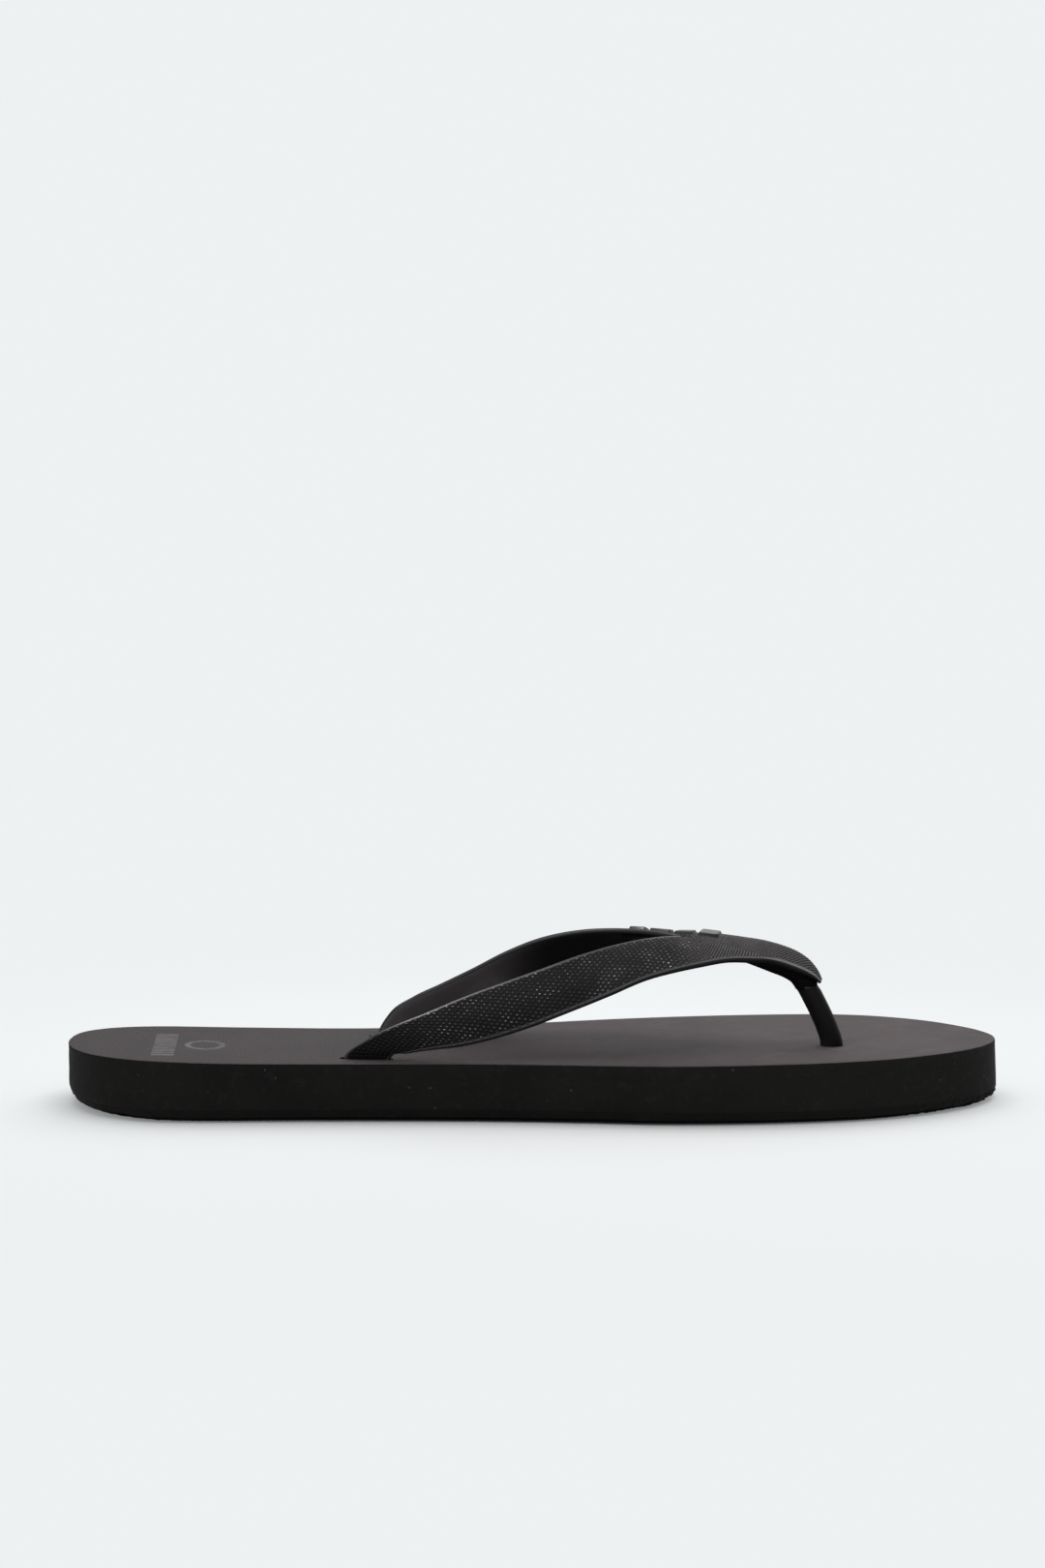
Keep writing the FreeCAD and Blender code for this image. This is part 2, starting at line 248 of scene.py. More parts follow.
def columns(step):
    """x stations: even along the sole, closer at the round ends to keep the wall smooth."""
    rear = [HEEL_X]
    s = 0.0
    while True:
        s += min(0.9, max(step, 0.05))
        x = HEEL_X + s * s / 46.0
        if x > HEEL_X + 5:
            break
        rear.append(x)
    rear = np.array(rear)
    front = TOE_X - (rear - HEEL_X)[::-1]
    return np.concatenate([rear, np.arange(rear[-1] + step, front[0] - step * 0.5, step), front])


def border(xs):
    """Points and outward normals on both long sides at each x station."""
    sides = []
    for points, normals in (big_toe_side, little_toe_side):
        x = np.maximum.accumulate(points[:, 0])
        keep = np.concatenate([[True], np.diff(x) > 1e-9])
        y, nx, ny = (np.interp(xs, x[keep], values[keep])
                     for values in (points[:, 1], normals[:, 0], normals[:, 1]))
        length = np.hypot(nx, ny)
        sides.append((np.stack([xs, y], 1), np.stack([nx / length, ny / length], 1)))
    return sides


# ------------------------------------------------------------------ sole layers
def flare(z):
    return FLARE * (1 - z / FLARE_TOP)


def undercut(radius, z):
    """How far a bottom edge of this radius draws the wall in at height z."""
    depth = radius - np.sqrt(np.maximum(0, radius * radius - (radius - z) ** 2))
    return np.where(z < radius, depth, 0.0)


def below_top(depth):
    return lambda x, *_: z_top(x) - depth


def level(z):
    return lambda x, *_: np.full_like(x, z)


def sole_layer(name, step, rows, rings, top_z, bottom_z, wall_noise, edge=None):
    """Closed sheet of the sole.

    rings lists the wall from low to high as (height at x, inset). top_z and bottom_z give the
    caps' height from x, y and the distance to the rim. edge adds relief to the wall's offset.
    """
    xs = columns(step)
    count = len(xs)
    blocks = []

    def add(*xyz):
        blocks.append(np.column_stack(xyz))
        return (len(blocks) - 1) * count + np.arange(count)

    ring_ids = []
    for height, inset in rings:
        ids = []
        for side, (points, normals) in enumerate(border(xs)):
            x, y = points.T
            z = height(x)
            # the bottom edge is tighter along the sides, rounder and steeper at the heel
            flank = smooth(14, 50, x) * (1 - smooth(236, 270, x))
            heel_part = 1 - smooth(3, 34, x)
            radius = BOTTOM_R * (1 - 0.42 * flank) + 2.6 * heel_part
            offset = flare(z) - undercut(BOTTOM_R, z) - inset
            offset = (offset - flare(z) * 0.85 * heel_part
                      + undercut(BOTTOM_R, z) - undercut(radius, z))
            if edge:
                offset = edge(offset, x, y, z, side, flank)
            wall = points + normals * offset[:, None]
            wx, wy = wall.T
            fine = value_noise(wx / 1.7 + side * 91, z / 1.3 + 5 + wy / 2.3)
            coarse = value_noise(wx / 6.0 + side * 31, z / 5.0 + wy / 7.0, 3)
            wall = wall + normals * (wall_noise * (fine * 0.6 + coarse * 0.4))[:, None]
            ids.append(add(wall, z))
        # the two sides share their end points; the spare copies are dropped below
        ids[1][[0, -1]] = ids[0][[0, -1]]
        ring_ids.append(ids)

    def cap(ring, z_at):
        placed = np.vstack(blocks)
        a, b = placed[ring[0]], placed[ring[1]]
        width = np.linalg.norm(b - a, axis=1)
        # rows lie closer together near the rim
        even = np.linspace(0, 1, rows + 1)
        u = (1 - np.cos(np.linspace(0, math.pi, rows + 1))) / 2 * 0.35 + even * 0.65
        grid = [ring[0]]
        for share in u[1:-1]:
            x, y, _ = (a * (1 - share) + b * share).T
            to_side = np.minimum(share, 1 - share) * width
            to_end = np.minimum(x - HEEL_X, TOE_X - x) + 0.3
            grid.append(add(x, y, z_at(x, y, np.minimum(to_side, to_end))))
        return np.stack(grid + [ring[1]], 1)

    faces = [grid_quads(cap(ring_ids[-1], top_z)), grid_quads(cap(ring_ids[0], bottom_z))[:, ::-1]]
    for low, high in zip(ring_ids, ring_ids[1:]):
        near = strip_quads(low[0], high[0])
        far = strip_quads(low[1], high[1])[:, [1, 0, 3, 2]]
        faces.append(np.stack([near, far], 1).reshape(-1, 4))
    used, faces = np.unique(np.vstack(faces), return_inverse=True)
    points = to_frame(np.vstack(blocks)[used])
    return make_mesh(name, points.tolist(), faces.reshape(-1, 4).tolist())


def rib_height(x, y):
    """Fine cross ribs of the footbed, deepest at the heel."""
    depth = 0.105 * (1 - 0.75 * smooth(120, 215, x)) * (0.82 + 0.18 * value_noise(x / 9.0, y / 6.0, 11))
    return -depth * (0.5 + 0.5 * np.cos(2 * math.pi * x / RIB)) ** 1.4


def footbed_z(x, y, rim_distance):
    wave = (0.05 * value_noise(x / 22.0, y / 14.0, 2)
            + 0.018 * value_noise(x / 2.6, y / 2.2, 5) * smooth(150, 210, x))
    # hollow round the toe post with a slight swell about it
    r = np.hypot(x - POST[0], y - POST[1])
    dent = -0.75 * np.exp(-(r / 6.5) ** 2) + 0.12 * np.exp(-((r - 11.0) / 3.0) ** 2)
    for cx, cy in REAR_DENTS:
        q = np.hypot((x - cx) / 9.5, (y - cy) / 3.2)
        dent = dent - 0.28 * np.exp(-(q / 1.15) ** 2)
    return z_top(x) + (rib_height(x, y) + wave + dent) * smooth(0.0, 0.9, rim_distance)


def footbed_teeth(offset, x, y, z, side, flank):
    """Rib ends showing in the upper part of the wall, fainter forward."""
    uneven = 0.35 + 0.65 * value_noise(x / 3.1, side * 5.0, 23)
    return offset + (0.15 * (z > z_top(x) - 0.7) * np.cos(2 * math.pi * x / RIB) * uneven
                     * (1 - 0.7 * smooth(120, 215, x)))


def tread(x, y):
    """Zigzag grooves with fine cross ribs on the lugs between them."""
    zigzag = np.abs(np.mod((y + 60) / 12.0, 2.0) - 1.0) * 2 - 1      # -1..1, period 24 mm
    c = x + 1.5 * zigzag
    from_groove = np.abs(np.mod(c - 5.0 + TREAD_PITCH / 2, TREAD_PITCH) - TREAD_PITCH / 2)
    groove = 0.8 * (1 - smooth(0.62, 0.98, from_groove))
    rib = 0.28 * (0.5 + 0.5 * np.cos(2 * math.pi * (c - 5.0) / LUG_RIB)) ** 2
    return np.maximum(groove, rib)


def outsole_z(x, y, rim_distance):
    return tread(x, y) * smooth(0, 1.0, rim_distance)


def outsole_lugs(offset, x, y, z, side, flank):
    """Lug ends just above the ground, and a ragged lower wall round heel and toe."""
    uneven = 0.5 + 0.5 * value_noise(x / 4.0, y / 9.0 + side * 17, 8)
    offset = offset + 0.20 * (z < 0.8) * np.cos(2 * math.pi * (x + 0.3 * y) / LUG_RIB) * uneven
    ragged = value_noise(x / 1.3 + y / 2.4, z / 1.5 + side * 7, 19)
    return offset + 0.75 * (z < 2.9) * (1 - flank) * ragged


footbed = sole_layer(
    "footbed_sheet", step=SOLE_STEP, rows=26,
    rings=[(below_top(FOOTBED_T - RIM_GAP), EDGE_INSET), (below_top(FOOTBED_T - EDGE_BAND), 0),
           (below_top(2.9), 0), (below_top(1.9), 0), (below_top(1.0), 0), (below_top(0.35), 0),
           (below_top(0.12), 0.06),
           (lambda x: z_top(x) - 0.02 + rib_height(x, 0.0) * 0.6, 0.24)],
    top_z=footbed_z, bottom_z=below_top(FOOTBED_T - CAP_GAP),
    wall_noise=0.09, edge=footbed_teeth)

midsole = sole_layer(
    "midsole_core", step=0.8, rows=14,
    rings=[(level(OUTSOLE_T + RIM_GAP), EDGE_INSET), (level(OUTSOLE_T + EDGE_BAND), 0),
           *((level(z), 0) for z in (4.4, 5.6, 7.2, 9.0, 10.6, 12.0)),
           (below_top(FOOTBED_T + EDGE_BAND), 0), (below_top(FOOTBED_T + RIM_GAP), EDGE_INSET)],
    top_z=below_top(FOOTBED_T + CAP_GAP), bottom_z=level(OUTSOLE_T + CAP_GAP),
    wall_noise=0.06)

UNDERCUT = 0.45                 # depth of the groove running just above the ground
outsole = sole_layer(
    "outsole_sheet", step=0.3, rows=150,
    rings=[*((level(z), 0) for z in (0.0, 0.10, 0.35, 0.75)),
           (level(0.86), UNDERCUT), (level(1.12), UNDERCUT),
           *((level(z), 0) for z in (1.26, 1.7, 2.1, 2.8, OUTSOLE_T - EDGE_BAND)),
           (level(OUTSOLE_T - RIM_GAP), EDGE_INSET)],
    top_z=level(OUTSOLE_T - CAP_GAP), bottom_z=outsole_z,
    wall_noise=0.16, edge=outsole_lugs)

# ------------------------------------------------------------------ strap faces
# arm rows: inner or upper edge, outer or lower edge, mid thickness, crown
BIG_TOE_ARM = [
    ((85.2, -26.9, 14.0), (95.6, -28.8, 14.0), 2.2, 0.10),
    ((84.2, -26.7, 17.2), (97.4, -29.1, 17.4), 2.3, 0.10),
    ((91.3, -26.9, 23.0), (102.5, -30.2, 18.9), 2.4, 0.2),
    ((98.2, -27.0, 26.4), (109.0, -31.3, 20.2), 2.5, 0.3),
    ((108.5, -26.5, 30.4), (118.0, -32.2, 21.5), 2.6, 0.5),
    ((119.5, -25.4, 34.8), (127.5, -32.3, 23.6), 2.7, 0.7),
    ((131.0, -23.7, 38.7), (139.0, -31.9, 27.1), 2.8, 0.8),
    ((143.0, -21.2, 42.5), (150.5, -30.6, 31.3), 2.8, 0.9),
    ((156.0, -17.6, 46.5), (163.0, -28.6, 36.0), 2.8, 1.0),
    ((169.0, -13.2, 49.4), (175.0, -26.4, 40.8), 2.9, 1.1),
    ((179.5, -9.3, 50.6), (185.0, -24.4, 43.2), 3.0, 1.1),
    ((187.0, -6.5, 50.6), (192.5, -22.4, 44.5), 3.0, 0.9),
]
LITTLE_TOE_ARM = [
    ((95.8, 19.0, 14.0), (105.0, 21.3, 14.0), 2.2, 0.10),
    ((95.0, 18.9, 17.2), (106.8, 21.8, 17.4), 2.3, 0.10),
    ((99.0, 19.3, 24.2), (110.5, 22.9, 19.2), 2.4, 0.2),
    ((106.0, 19.2, 28.9), (117.0, 23.9, 20.6), 2.5, 0.3),
    ((114.5, 18.4, 33.0), (124.5, 24.8, 22.6), 2.6, 0.5),
    ((124.5, 17.0, 38.0), (133.5, 25.0, 26.0), 2.7, 0.7),
    ((134.5, 15.2, 43.4), (142.5, 24.4, 31.6), 2.8, 0.8),
    ((145.5, 12.8, 48.0), (153.0, 22.8, 36.6), 2.8, 0.9),
    ((157.0, 9.4, 50.7), (164.0, 20.6, 40.6), 2.8, 1.0),
    ((168.5, 5.0, 51.7), (175.0, 17.0, 43.3), 2.9, 1.1),
    ((178.5, -0.4, 51.6), (185.0, 12.6, 45.2), 3.0, 1.3),
    ((187.0, -6.5, 50.6), (193.5, 8.3, 46.1), 3.0, 2.0),
]
# bridge rows: big-toe-side edge, seam where the two arms' textures meet, little-toe-side edge,
# crown of the big-toe part, crown of the little-toe part, thickness
BRIDGE = [
    ((192.5, -22.4, 44.5), (187.0, -6.5, 50.6), (193.5, 8.3, 46.1), 0.9, 2.0, 3.0),
    ((198.0, -20.8, 45.2), (191.8, -9.2, 50.2), (198.4, 5.3, 46.3), 0.8, 2.7, 3.1),
    ((203.0, -19.3, 45.3), (197.6, -11.3, 49.1), (203.2, 2.5, 46.2), 0.6, 3.0, 3.2),
    ((208.0, -17.9, 45.0), (203.6, -13.0, 47.5), (208.0, -0.3, 45.7), 0.4, 3.5, 3.2),
    ((212.6, -16.6, 44.6), (210.0, -15.1, 45.6), (212.6, -2.8, 45.2), 0.15, 4.0, 3.0),
    ((217.0, -16.0, 43.6), (216.5, -14.8, 44.4), (217.0, -5.6, 44.2), 0.0, 3.7, 2.6),
    ((221.0, -15.8, 42.15), (220.9, -14.4, 42.9), (221.0, -6.9, 42.25), 0.0, 3.7, 2.3),
    ((224.5, -15.4, 40.6), (224.6, -14.1, 41.3), (224.5, -7.6, 40.7), 0.0, 2.9, 2.0),
    ((227.4, -14.8, 38.85), (227.5, -13.6, 39.4), (227.4, -8.3, 38.95), 0.0, 1.6, 1.6),
    ((229.3, -13.9, 37.0), (229.5, -13.0, 37.3), (229.4, -9.3, 37.05), 0.0, 0.5, 1.0),
]
EDGE_T = 1.7                                    # thickness along the edges
DOT_STEP, DOT_R, DOT_H = 1.34, 0.50, 0.26       # raised points: column spacing, radius, height
RIDGE_PITCH, RIDGE_H = 1.10, 0.33               # slanting ridges on the bridge
COLS = int(round(18.0 / STRAP_STEP))            # columns across the outer face
INNER_COLS = 24                                 # columns across the smooth inner face


def sample_rows(table):
    """Smooth interpolation of each table column along the middle of the first two."""
    t = arc_length(np.array([(np.array(row[0]) + np.array(row[1])) / 2 for row in table]))
    q = np.linspace(0, t[-1], max(2, int(round(t[-1] / STRAP_STEP))) + 1)
    return [hermite(t, np.array([np.atleast_1d(v) for v in column], float), q)
            for column in zip(*table)]


def crowned_face(inner, outer, crown, turn):
    """Grid from the inner to the outer edge line, arched by the crown; turn sets its sense."""
    v = np.linspace(0, 1, COLS + 1)
    base = inner[:, None, :] * (1 - v)[None, :, None] + outer[:, None, :] * v[None, :, None]
    normal = unit(np.cross(np.gradient((inner + outer) / 2, axis=0), outer - inner)) * turn
    return base + normal[:, None, :] * (crown[:, :1, None] * np.sin(math.pi * v)[None, :, None])


def relax(grid, centre, span):
    """Averages rows near one station so that the two row tables run into each other."""
    weight = np.exp(-((np.arange(len(grid)) - centre) / span) ** 2)[:, None, None]
    for _ in range(60):
        mean = grid.copy()
        mean[1:-1] = (grid[:-2] + grid[2:]) / 2
        grid = grid + (mean - grid) * weight * 0.8
    return grid


def upward_normals(grid):
    """Unit normals of a surface grid, turned to point up on the whole."""
    normal = np.cross(np.gradient(grid, axis=0), np.gradient(grid, axis=1))
    normal = normal / np.maximum(np.linalg.norm(normal, axis=2), 1e-12)[..., None]
    return -normal if np.mean(normal[:, :, 2]) < 0 else normal


def dots(u, w, pitch, length):
    """Round points in columns across the arm, each column shifted by half a step.

    Returns their height 0..1 and a map of the polished tops; no two are quite alike."""
    height = tops = 0.0
    nearest = np.floor(u / DOT_STEP + 0.5)
    for k in (-1, 0, 1):
        column = nearest + k
        t = w / pitch + 0.5 * np.mod(column, 2) + 0.5
        row = np.floor(t)
        vary = np.mod(np.sin(row * 12.9898 + column * 78.233) * 43758.5453, 1.0)
        vary_w = np.mod(np.sin(row * 39.3468 + column * 11.135) * 24634.6345, 1.0)
        du = u - column * DOT_STEP - (vary - 0.5) * 0.20
        dw = (t - row - 0.5) * pitch - (vary_w - 0.5) * 0.24
        r2 = (du / length) ** 2 + (dw / (DOT_R * 0.92)) ** 2
        height = np.maximum(height, np.clip(1 - r2, 0, 1) * (0.72 + 0.28 * vary))
        tops = np.maximum(tops, np.clip(1.30 - 2.6 * r2, 0, 1) * (0.14 + 0.86 * vary ** 1.5))
    return height, tops


class StrapHalf:
    """One arm and its share of the bridge. Grid rows run forward, columns run outward from the
    arm's inner edge or the bridge's seam."""

    def __init__(self, arm_table, bridge_edge, bridge_crown, side, seed,
                 bead_depth, ridge_gloss, ridge_dust_and_sheen):
        self.side, self.seed = side, seed       # side: 1 big toe, -1 little toe
        self.bead_depth, self.ridge_gloss, self.ridge_dust_and_sheen = bead_depth, ridge_gloss, ridge_dust_and_sheen
        inner, outer, thickness, crown = sample_rows(arm_table)
        arm = crowned_face(inner, outer, crown, -side)
        front = crowned_face(bridge[1], bridge[bridge_edge], bridge[bridge_crown], -side)
        self.join = len(arm) - 1                # row where the arm meets the bridge
        self.thickness = np.concatenate([thickness[:, 0], bridge[5][1:, 0]])
        grid = np.concatenate([arm, front[1:]])
        self.arc = arc_length(grid[:, COLS // 2])
        self.points = relax(grid, self.join + 1, 6 / STRAP_STEP)
        self.walls = {}

    def add_texture(self):
        """Relief in mm: raised points on the arm run together into slanting ridges over the
        bridge, between smooth rims. Also the finish maps for gloss, rim, and dust with painted light."""
        big = self.side == 1
        w = arc_length(self.points, axis=1)
        width = w[:, -1:]
        outer = width - w
        u = self.arc[:, None]
        x = self.points[..., 0]
        on_bridge = smooth(self.join - 2, self.join + 6, np.arange(len(x))[:, None]) > 0.5
        # distance from the smooth rims; the big-toe part has none along the seam
        seam_distance = 99 if big else w + 0.95 + 8 * (1 - smooth(206, 216, x))
        rim_distance = np.minimum(outer, np.where(on_bridge, seam_distance, w))
        rim_width = 0.62 + 0.30 * smooth(186, 206, x)
        textured = (smooth(rim_width - 0.25, rim_width + 0.35, rim_distance)
                    * (smooth(2.2, 4.2, width) if big else 1.0))
        above_sole = smooth(16.4, 18.4, self.points[..., 2])
        dot, tops = dots(u, w - width / 2, pitch=1.15 + 0.34 * smooth(8.5, 15.5, width),
                         length=DOT_R + 0.30 * (1 - smooth(9.0, 14.5, width)))
        patch = smooth(-0.35, 0.45, value_noise(u / 7.0, w / 4.0, self.seed))
        # ridges are lines of constant phase, turning as they run forward
        ratio = np.interp(self.arc, [-30, 0, 18, 44], [1.9, 1.6, 1.35, 0.75])
        run = np.cumsum((ratio[1:] + ratio[:-1]) / 2 * np.diff(self.arc))
        run = np.concatenate([[0], run])
        run -= run[self.join]
        phase = (run[:, None] + self.side * w) / RIDGE_PITCH
        along = (u * 0.8 - self.side * w * 0.6) / 1.75
        bead = 0.5 + 0.5 * np.cos(2 * math.pi * (along + 0.37 * np.floor(phase)))
        ridge = ((0.5 + 0.5 * np.cos(2 * math.pi * phase)) ** 0.8
                 * (1 - self.bead_depth * bead))
        ridged = smooth(180, 203, x)            # 0 points only, 1 ridges only
        dotted = 1 - ridged ** 2.0
        height = (-0.15 + dot * DOT_H * dotted + ridge * RIDGE_H * ridged) * textured
        gloss = (tops * (0.35 + 0.65 * patch) * dotted
                 + np.clip(ridge * 2.2 - 1.35, 0, 1) * ridged * self.ridge_gloss) * textured
        # ridge tops over the bridge painted paler, partly dust and partly painted sheen, so that the
        # grooves read as shade
        dust = ((0.16 + 0.84 * np.clip(ridge * 1.7 - 0.45, 0, 1)) * ridged * textured
                * self.ridge_dust_and_sheen)
        # painted highlight on the smooth rims near the tip
        dust = dust + (1 - textured) * 0.50 * smooth(209, 217, x)
        if big:     # paler towards the bridge, and less gloss half way along the arm
            dust = dust + ((0.07 + 0.10 * np.clip(dot, 0, 1)) * smooth(152, 168, x)
                           * (1 - ridged) * (0.6 + 0.4 * patch) * textured)
            gloss = gloss * (1 - 0.5 * np.exp(-((x - 152) / 8.0) ** 2))
        gloss = gloss * (0.25 + 0.75 * smooth(97, 116, x))
        # the rims' sheen and painted highlight are fainter on the arm: most along the outer edge
        faint = 0.65 * (outer < w) + 0.35 * (outer >= w) * smooth(104, 124, x)
        rim = (1 - textured) * (1 - faint * (1 - smooth(168, 206, x)))
        # shallow valley along the seam, fading forward from where the arms part
        k = (np.arange(len(x)) - self.join) * STRAP_STEP
        fade = np.where(k >= 0, np.exp(-np.maximum(k, 0) / 3.0), 0)[:, None]
        self.height = height * above_sole - fade * 0.7 * np.exp(-(w / 1.1) ** 2)
        self.finish = {"gloss": gloss * above_sole, "rim": rim, "dust": dust * above_sole}

    def add_skins(self, moulding):
        """Adds the vertices of the textured outer face and of the smooth inner face."""
        self.top = self.points + self.normals * self.height[..., None]
        v = np.linspace(0, 1, INNER_COLS + 1)
        source = np.linspace(0, COLS, INNER_COLS + 1)
        i = np.clip(source.astype(int), 0, COLS - 1)
        part = (source - i)[None, :, None]
        base, normal = (grid[:, i] * (1 - part) + grid[:, i + 1] * part
                        for grid in (self.points, self.normals))
        edge = np.minimum(EDGE_T, self.thickness * 0.75)[:, None]
        depth = edge + (self.thickness[:, None] - edge) * (4 * v * (1 - v))[None, :] ** 0.6
        self.low = base - normal * depth[..., None]
        # painted light on the rear part of the inner face, with a painted reflection at its front end
        x = self.low[..., 0]
        painted_reflection = np.exp(-((x - 128.5) / 5.5) ** 2 - ((v[None, :] - 0.5) / 0.26) ** 2)
        inner_painted_light = 0.05 * (x < 170) + 0.66 * (1 - smooth(122, 150, x)) + 0.75 * painted_reflection
        self.top_ids = moulding.add(self.top, **self.finish)
        self.low_ids = moulding.add(self.low, inner=np.clip(inner_painted_light, 0, 1))

    def add_wall(self, moulding, column):
        """Rounded edge joining both faces: column -1 outer edge, column 0 the arm's inner edge."""
        rows = slice(None) if column == -1 else slice(self.join + 1)
        out = self.points[:, column] - self.points[:, -3 if column == -1 else 2]
        out = (out / np.maximum(np.linalg.norm(out, axis=1), 1e-9)[:, None])[rows]
        if column == 0:     # the rounding dies out where the arms meet
            out[-12:] *= np.linspace(1, 0, 12)[:, None]
        top, low = self.top[rows, column], self.low[rows, column]
        rings = [self.top_ids[rows, column]]
        for k in range(1, 6):
            a = math.pi * k / 6
            bulge = out * (0.42 * math.sin(a))
            # rim value falls down the rounding: more sheen and more painted highlight on its upper part
            rings.append(moulding.add((top + low) / 2 + (top - low) / 2 * math.cos(a) + bulge,
                                      rim=0.8 - 0.1 * k))
        rings.append(self.low_ids[rows, column])
        for first, second in zip(rings, rings[1:]):
            moulding.faces += strip_quads(first, second).tolist()
        self.walls[column] = rings

    def wall_end(self, column, row):
        return [ring[row] for ring in self.walls[column][1:-1]]


class Moulding:
    """Collects vertices with their finish (gloss, inner face, rim, dust and painted light) and faces.
    """

    def __init__(self):
        self.points, self.finish, self.faces = [], [], []
        self.count = 0

    def add(self, points, gloss=0.0, inner=0.0, rim=0.0, dust=0.0):
        shape = points.shape[:-1]
        flat = points.reshape(-1, 3)
        ids = (self.count + np.arange(len(flat))).reshape(shape)
        self.count += len(flat)
        self.points.append(flat)
        self.finish.append(np.column_stack(
            [np.broadcast_to(value, shape).ravel() for value in (gloss, inner, rim, dust)]))
        return ids

    def close(self, *parts):
        """One face over a loop of vertex numbers."""
        self.faces.append(np.concatenate(parts).tolist())

    def loft(self, rings, **finish):
        """Closed body through rings of points."""
        ids = [self.add(ring, **finish) for ring in rings]
        for first, second in zip(ids, ids[1:]):
            self.faces += strip_quads(*(np.append(r, r[0]) for r in (first, second))).tolist()
        self.close(ids[0])
        self.close(ids[-1][::-1])

    def build(self, name):
        item = make_mesh(name, to_frame(np.vstack(self.points)).tolist(), self.faces)
        layer = item.data.attributes.new("finish", "FLOAT_COLOR", "POINT")
        layer.data.foreach_set("color", np.vstack(self.finish).astype(np.float32).ravel())
        work = bmesh.new()
        work.from_mesh(item.data)
        bmesh.ops.remove_doubles(work, verts=work.verts, dist=1e-6)
        bmesh.ops.recalc_face_normals(work, faces=work.faces)
        work.to_mesh(item.data)
        work.free()
        item.data.update()
        return item


bridge = sample_rows(BRIDGE)
big = StrapHalf(BIG_TOE_ARM, bridge_edge=0, bridge_crown=3, side=1, seed=31,
                bead_depth=0.42, ridge_gloss=0.8, ridge_dust_and_sheen=0.66)
little = StrapHalf(LITTLE_TOE_ARM, bridge_edge=2, bridge_crown=4, side=-1, seed=47,
                   bead_depth=0.18, ridge_gloss=0.2, ridge_dust_and_sheen=1.12)
halves = (big, little)


def share_seam(name, combine):
    """Gives both halves the same values along the seam."""
    a, b = (getattr(half, name)[half.join:, 0] for half in halves)
    shared = combine(a, b)
    for half in halves:
        getattr(half, name)[half.join:, 0] = shared
    return shared


seam = share_seam("points", lambda a, b: (a + b) / 2)
for half in halves:
    half.arc = np.concatenate([half.arc[:half.join] - half.arc[half.join], arc_length(seam)])
    half.normals = upward_normals(half.points)
    half.add_texture()
share_seam("height", lambda a, b: (a + b) / 2)
share_seam("normals", lambda a, b: unit(a + b))

moulding = Moulding()
for half in halves:
    half.add_skins(moulding)
for half in halves:
    for ids in (half.top_ids, half.low_ids):
        moulding.faces += grid_quads(ids).tolist()
for column in (-1, 0):
    for half in halves:
        half.add_wall(moulding, column)
# rear ends inside the sole, then the closed beak over the toe post
for half in halves:
    moulding.close(half.top_ids[0], half.wall_end(-1, 0),
                   half.low_ids[0][::-1], half.wall_end(0, 0)[::-1])
moulding.close(big.top_ids[-1][::-1], little.top_ids[-1][1:], little.wall_end(-1, -1),
               little.low_ids[-1][::-1], big.low_ids[-1][1:], big.wall_end(-1, -1)[::-1])

# ------------------------------------------------------------------ toe post, keel, plugs, blocks
# toe post sections: centre x, z, half size along x, half size across, tilt in radians
POST_ROWS = np.array([
    (232.9, 2.2, 3.45, 3.45, 0.0), (232.9, 10.0, 3.45, 3.45, 0.0), (232.95, 16.2, 3.45, 3.45, 0.0),
    (232.75, 18.6, 3.42, 3.45, 0.05), (231.5, 22.6, 3.32, 3.4, 0.22),
    (229.3, 27.6, 3.22, 3.35, 0.34), (227.3, 31.6, 3.22, 3.35, 0.34),
    (225.9, 34.2, 3.35, 3.4, 0.16), (225.2, 35.3, 3.5, 3.45, 0.02)])
# keel under the bridge: rear x, front x, z, half width
KEEL_ROWS = [
    (221.8, 228.3, 34.6, 3.35), (221.2, 228.4, 35.6, 3.35), (220.0, 228.3, 37.0, 3.25),
    (217.4, 227.6, 38.5, 3.0), (213.8, 226.2, 39.9, 2.8), (210.3, 223.9, 41.3, 2.6),
    (207.2, 220.8, 42.5, 2.5), (204.2, 217.0, 43.6, 2.6), (201.5, 213.0, 44.5, 2.8)]
KEEL_Y = -11.5
SHOULDER_R = 0.35               # rounding at the top of the toe post


def section(cx, cz, half_x, half_y, tilt, cy=POST[1], power=1.0):
    """Tilted oval section; a power below 1 squares it."""
    a = np.linspace(0, 2 * math.pi, 72, endpoint=False)
    x, y = (half * np.sign(v) * np.abs(v) ** power
            for half, v in ((half_x, np.cos(a)), (half_y, np.sin(a))))
    return np.stack([cx + x * math.cos(tilt), cy + y, cz + x * math.sin(tilt)], 1)


def add_toe_post(moulding):
    t = arc_length(POST_ROWS[:, :2])
    rows = hermite(t, POST_ROWS, np.linspace(0, t[-1], 90))
    rings = [section(*row) for row in rows]
    x, z, half_x, half_y, tilt = rows[-1]
    for k in range(1, 6):
        a = math.pi / 2 * k / 5
        inset = SHOULDER_R * (1 - math.cos(a))
        rings.append(section(x, z + SHOULDER_R * math.sin(a), half_x - inset, half_y - inset, tilt))
    # negative value: painted shade on the toe post
    moulding.loft(rings, rim=0.35, dust=-0.35)


def add_keel(moulding):
    rows = np.array([((rear + front) / 2, z, (front - rear) / 2, half_width, 0.0)
                     for rear, front, z, half_width in KEEL_ROWS])
    t = np.concatenate([[0], np.cumsum(np.abs(np.diff(rows[:, 1])) + 1e-6)])
    rings = [section(*row, cy=KEEL_Y, power=0.85)
             for row in hermite(t, rows, np.linspace(0, t[-1], 40))]
    # negative value: painted shade on the keel under the bridge
    moulding.loft(rings, dust=-0.9)


